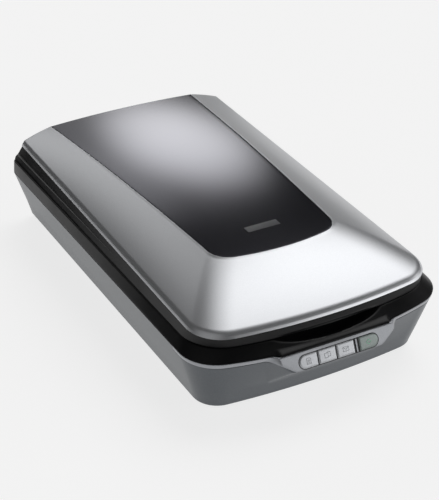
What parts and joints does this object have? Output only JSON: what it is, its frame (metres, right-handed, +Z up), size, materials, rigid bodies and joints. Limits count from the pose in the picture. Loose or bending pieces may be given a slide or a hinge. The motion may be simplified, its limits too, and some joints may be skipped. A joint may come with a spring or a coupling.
{
  "type": "flatbed scanner",
  "caption": "Flatbed photo scanner with a hipped silver lid, dark gloss top panel, black glass frame, silver base and a leaning button panel.",
  "frame": {"origin": "centre of the overall footprint on the surface that the rubber feet stand on", "axes": "+Z up, -Y towards the control panel at the front, +X to the right seen from the front"},
  "size_m": [0.275, 0.4702, 0.1181],
  "materials": {
    "silver_case": "satin silver-grey moulded plastic",
    "black_bezel": "satin black moulded plastic",
    "light_trim": "light silver painted plastic",
    "button_silver": "satin silver keys",
    "glass": "clear float glass",
    "white_plastic": "white reference surface",
    "circuit_green": "circuit board",
    "steel": "plated steel",
    "screw_steel": "zinc plated screws",
    "dark_plastic": "black moulded plastic",
    "socket_metal": "tinned socket shell",
    "rubber_black": "black rubber",
    "motor_metal": "motor can",
    "ribbon_white": "flat ribbon cable",
    "brass": "machined brass",
    "gear_white": "white acetal",
    "lamp_glass": "white coated lamp tube",
    "reflector": "polished reflector strip",
    "mirror": "front-surface mirror",
    "lens_black": "black lens barrel",
    "silver_lid": "fine metallic silver paint on plastic",
    "panel_gloss": "glossy near-black plastic",
    "badge_metal": "dark blank name plate",
    "white_foam": "white faced foam mat",
    "diffuser": "opal acrylic"
  },
  "bodies": {
    "base": {"lower_case": "silver_case", "upper_bezel": "black_bezel", "control_trim": "light_trim", "document_glass": "glass", "calibration_strip": "white_plastic", "button_board": "circuit_green", "guide_rod": "steel", "rod_clips": "dark_plastic", "slide_rail": "dark_plastic", "drive_belt": "rubber_black", "pulley_axles": "steel", "drive_motor": "motor_metal", "motor_bracket": "steel", "gear_plate": "steel", "idler_bracket": "steel", "tension_spring": "steel", "main_board": "circuit_green", "board_screws": "screw_steel", "power_jack": "dark_plastic", "usb_port": "socket_metal", "option_port": "dark_plastic", "flat_cable": "ribbon_white", "home_sensor": "dark_plastic", "rubber_feet": "rubber_black", "case_screws": "screw_steel"},
    "document_key": {"document_button": "button_silver"},
    "copy_key": {"copy_button": "button_silver"},
    "mail_key": {"mail_button": "button_silver"},
    "start_key": {"start_button": "button_silver"},
    "lock": {"transport_lock": "dark_plastic"},
    "pinion": {"motor_pinion": "brass"},
    "gear": {"reduction_gear": "gear_white"},
    "idler": {"idler_pulley": "gear_white"},
    "carriage": {"carriage_housing": "dark_plastic", "rod_bushings": "brass", "scan_lamp": "lamp_glass", "lamp_reflector": "reflector", "scan_mirrors": "mirror", "lens_barrel": "lens_black", "sensor_board": "circuit_green", "belt_clip": "dark_plastic"},
    "hinge": {"hinge_posts": "dark_plastic", "hinge_pins": "steel"},
    "lid": {"hinge_brackets": "steel", "lid_shell": "silver_lid", "lid_panel": "panel_gloss", "lid_badge": "badge_metal", "lid_frame": "black_bezel", "document_mat": "white_foam", "light_housing": "white_plastic", "film_lamp": "lamp_glass", "film_diffuser": "diffuser", "inverter_board": "circuit_green", "lid_screws": "screw_steel"}
  },
  "joints": [
    {"name": "document_press", "type": "slide", "parent": "base", "child": "document_key", "axis": [0, 0.9135, -0.4067], "range_m": [0, 0.001], "stiffness_N_per_m": 300, "springref_m": -0.002},
    {"name": "copy_press", "type": "slide", "parent": "base", "child": "copy_key", "axis": [0, 0.9135, -0.4067], "range_m": [0, 0.001], "stiffness_N_per_m": 300, "springref_m": -0.002},
    {"name": "mail_press", "type": "slide", "parent": "base", "child": "mail_key", "axis": [0, 0.9135, -0.4067], "range_m": [0, 0.001], "stiffness_N_per_m": 300, "springref_m": -0.002},
    {"name": "start_press", "type": "slide", "parent": "base", "child": "start_key", "axis": [0, 0.9135, -0.4067], "range_m": [0, 0.001], "stiffness_N_per_m": 300, "springref_m": -0.002},
    {"name": "lock_slide", "type": "slide", "parent": "base", "child": "lock", "axis": [1, 0, 0], "range_m": [0, 0.006]},
    {"name": "carriage_slide", "type": "slide", "parent": "base", "child": "carriage", "axis": [0, -1, 0], "range_m": [0, 0.302]},
    {"name": "gear_spin", "type": "hinge", "parent": "base", "child": "gear", "pos_m": [0.062, 0.194, 0], "axis": [0, 0, 1], "range_deg": [0, 2002.38]},
    {"name": "idler_spin", "type": "hinge", "parent": "base", "child": "idler", "pos_m": [0.062, -0.186, 0], "axis": [0, 0, 1], "range_deg": [0, 2002.38]},
    {"name": "pinion_spin", "type": "hinge", "parent": "base", "child": "pinion", "pos_m": [0.0901, 0.194, 0], "axis": [0, 0, 1], "range_deg": [-8009.54, 0]},
    {"name": "lid_lift", "type": "slide", "parent": "base", "child": "hinge", "axis": [0, 0, 1], "range_m": [0, 0.018]},
    {"name": "lid_hinge", "type": "hinge", "parent": "hinge", "child": "lid", "pos_m": [0, 0.229, 0.0816], "axis": [-1, 0, 0], "range_deg": [0, 80]}
  ],
  "couplings": [
    {"joint": "gear_spin", "follows": "carriage_slide", "rad_per_m": 115.61},
    {"joint": "idler_spin", "follows": "carriage_slide", "rad_per_m": 115.61},
    {"joint": "pinion_spin", "follows": "carriage_slide", "rad_per_m": -462.43}
  ]
}
